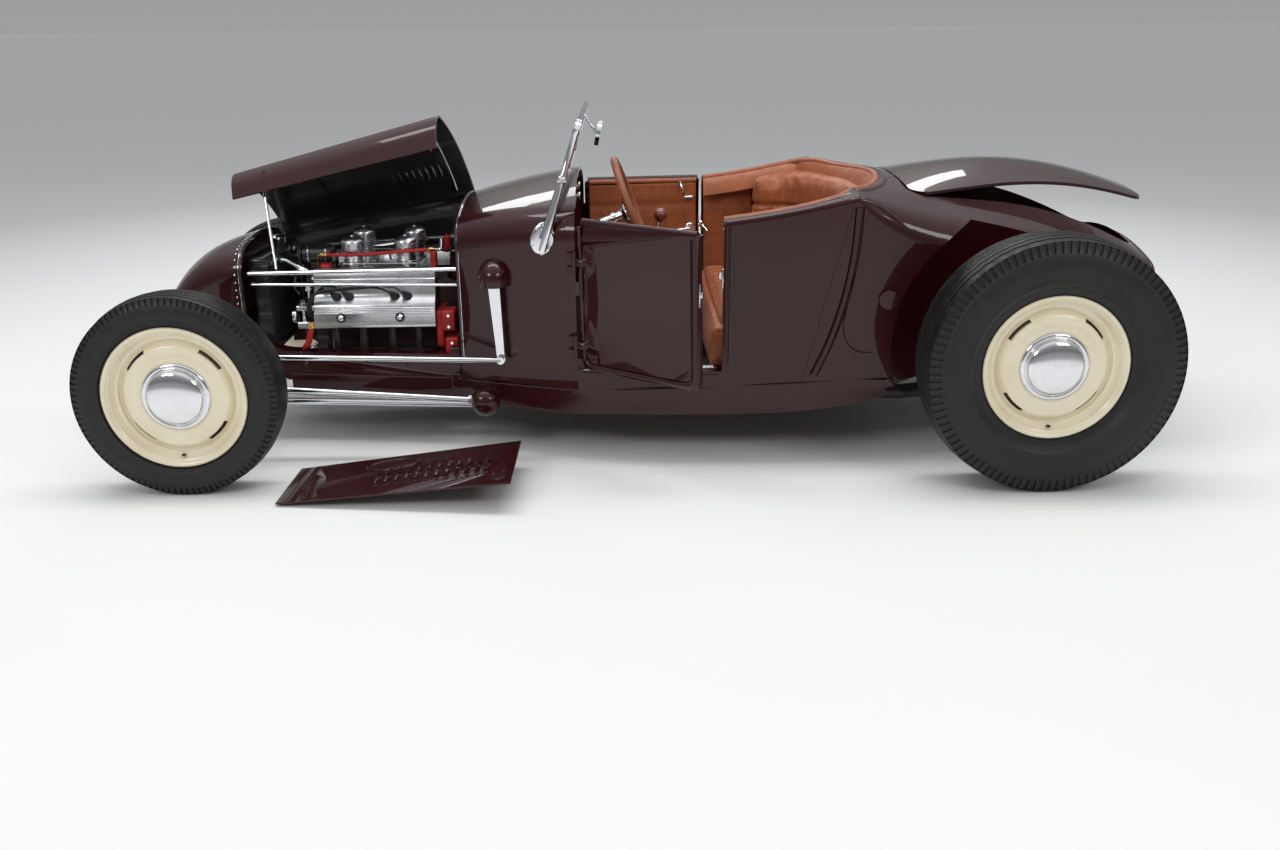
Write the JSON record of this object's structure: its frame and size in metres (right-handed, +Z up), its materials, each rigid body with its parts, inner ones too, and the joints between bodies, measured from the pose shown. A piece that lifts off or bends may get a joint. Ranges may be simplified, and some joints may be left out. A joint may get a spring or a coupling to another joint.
{
  "type": "street rod roadster",
  "caption": "Full-size open two-seat street rod with a propped hood, exposed carburettor engine, dropped front axle, ajar door, raised rear lid and steel wheels.",
  "frame": {"origin": "point of the floor below the middle of the front axle", "axes": "+X rearwards along the car, +Y to the car's right, +Z up"},
  "size_m": [3.4248, 1.8121, 1.095],
  "materials": {
    "body_paint": "dark maroon, high gloss",
    "wheel_cream": "cream, gloss",
    "frame_black": "black, gloss",
    "chrome": "bright plated",
    "polished_alloy": "polished",
    "engine_iron": "dark painted casting",
    "exhaust_steel": "dark coated",
    "tyre": "matt black",
    "leather": "saddle brown, satin",
    "wheel_rim_leather": "brown, satin",
    "carpet": "dark brown pile",
    "glass": "clear"
  },
  "bodies": {
    "chassis": {"frame": "body_paint", "front_axle": "chrome", "front_spring": "frame_black", "rear_axle": "frame_black", "engine": "engine_iron", "fan": "frame_black", "valve_covers": "polished_alloy", "carburettors": "polished_alloy", "exhaust": "exhaust_steel", "radiator": "frame_black", "nose": "body_paint", "grille": "chrome", "bay_rods": "chrome", "cowl": "body_paint", "hood_side_right": "body_paint", "hood_side_left": "body_paint", "tub": "body_paint", "rear_deck": "body_paint", "cabin_floor": "carpet", "seat_cushion": "leather", "seat_back": "leather", "windshield_frame": "chrome", "windshield_glass": "glass", "steering_box": "body_paint", "gear_lever": "chrome", "filler_cap": "body_paint"},
    "knuckle_left": {"knuckle_left": "chrome"},
    "knuckle_right": {"knuckle_right": "chrome"},
    "wheel_front_left": {"wheel_front_left": "wheel_cream", "tyre_front_left": "tyre"},
    "wheel_front_right": {"wheel_front_right": "wheel_cream", "tyre_front_right": "tyre"},
    "wheel_rear_left": {"wheel_rear_left": "wheel_cream", "tyre_rear_left": "tyre"},
    "wheel_rear_right": {"wheel_rear_right": "wheel_cream", "tyre_rear_right": "tyre"},
    "tie_rod": {"tie_rod": "chrome"},
    "pitman_arm": {"pitman_arm": "chrome"},
    "drag_link": {"drag_link": "chrome"},
    "steering_wheel": {"steering_wheel": "wheel_rim_leather"},
    "door_left": {"door_left": "body_paint"},
    "door_right": {"door_right": "body_paint"},
    "hood_top": {"hood_top": "body_paint"},
    "hood_prop": {"hood_prop": "chrome"},
    "deck_lid": {"deck_lid": "body_paint"}
  },
  "joints": [
    {"name": "steer_left", "type": "hinge", "parent": "chassis", "child": "knuckle_left", "pos_m": [0, -0.575, 0.315], "axis": [0, 0, 1], "range_deg": [-27, 27]},
    {"name": "steer_right", "type": "hinge", "parent": "chassis", "child": "knuckle_right", "pos_m": [0, 0.575, 0.315], "axis": [0, 0, 1], "range_deg": [-27, 27]},
    {"name": "tie_rod_swing", "type": "hinge", "parent": "knuckle_left", "child": "tie_rod", "pos_m": [0.13, -0.53, 0.165], "axis": [0, 0, 1], "range_deg": [-27, 27]},
    {"name": "pitman_swing", "type": "hinge", "parent": "chassis", "child": "pitman_arm", "pos_m": [0.94, -0.446, 0.598], "axis": [0, 1, 0], "range_deg": [-9.5, 9.5]},
    {"name": "drag_link_swing", "type": "hinge", "parent": "pitman_arm", "child": "drag_link", "pos_m": [0.954, -0.464, 0.336], "axis": [0, 1, 0], "range_deg": [-9.5, 9.5]},
    {"name": "steering_wheel_turn", "type": "hinge", "parent": "chassis", "child": "steering_wheel", "pos_m": [1.392, -0.25, 0.783], "axis": [0.9397, 0, 0.342], "range_deg": [-135, 135]},
    {"name": "front_left_spin", "type": "hinge", "parent": "knuckle_left", "child": "wheel_front_left", "pos_m": [0, -0.712, 0.315], "axis": [0, 1, 0], "continuous": true},
    {"name": "front_right_spin", "type": "hinge", "parent": "knuckle_right", "child": "wheel_front_right", "pos_m": [0, 0.712, 0.315], "axis": [0, 1, 0], "continuous": true},
    {"name": "rear_left_spin", "type": "hinge", "parent": "chassis", "child": "wheel_rear_left", "pos_m": [2.639, -0.759, 0.393], "axis": [0, 1, 0], "continuous": true},
    {"name": "rear_right_spin", "type": "hinge", "parent": "chassis", "child": "wheel_rear_right", "pos_m": [2.639, 0.759, 0.393], "axis": [0, 1, 0], "continuous": true},
    {"name": "door_left_hinge", "type": "hinge", "parent": "chassis", "child": "door_left", "pos_m": [1.203, -0.53, 0.5], "axis": [0, 0, -1], "range_deg": [-32, 33]},
    {"name": "door_right_hinge", "type": "hinge", "parent": "chassis", "child": "door_right", "pos_m": [1.203, 0.53, 0.5], "axis": [0, 0, 1], "range_deg": [0, 65]},
    {"name": "hood_hinge", "type": "hinge", "parent": "chassis", "child": "hood_top", "pos_m": [0.81, 0.358, 0.622], "axis": [-0.9872, -0.1198, -0.1049], "range_deg": [-32, 20]},
    {"name": "hood_prop_fold", "type": "hinge", "parent": "hood_top", "child": "hood_prop", "pos_m": [0.14938, -0.13911, 0.89204], "axis": [-0.9872, -0.1198, -0.1049], "range_deg": [-32, 20]},
    {"name": "deck_lid_hinge", "type": "hinge", "parent": "chassis", "child": "deck_lid", "pos_m": [2.286, 0, 0.866], "axis": [0, -1, 0], "range_deg": [-11, 34]}
  ],
  "couplings": [
    {"joint": "steer_right", "follows": "steer_left", "ratio": 1},
    {"joint": "tie_rod_swing", "follows": "steer_left", "ratio": -1},
    {"joint": "pitman_swing", "follows": "steer_left", "ratio": 0.35},
    {"joint": "drag_link_swing", "follows": "steer_left", "ratio": -0.35},
    {"joint": "steering_wheel_turn", "follows": "steer_left", "ratio": 5},
    {"joint": "hood_prop_fold", "follows": "hood_hinge", "ratio": 1}
  ]
}
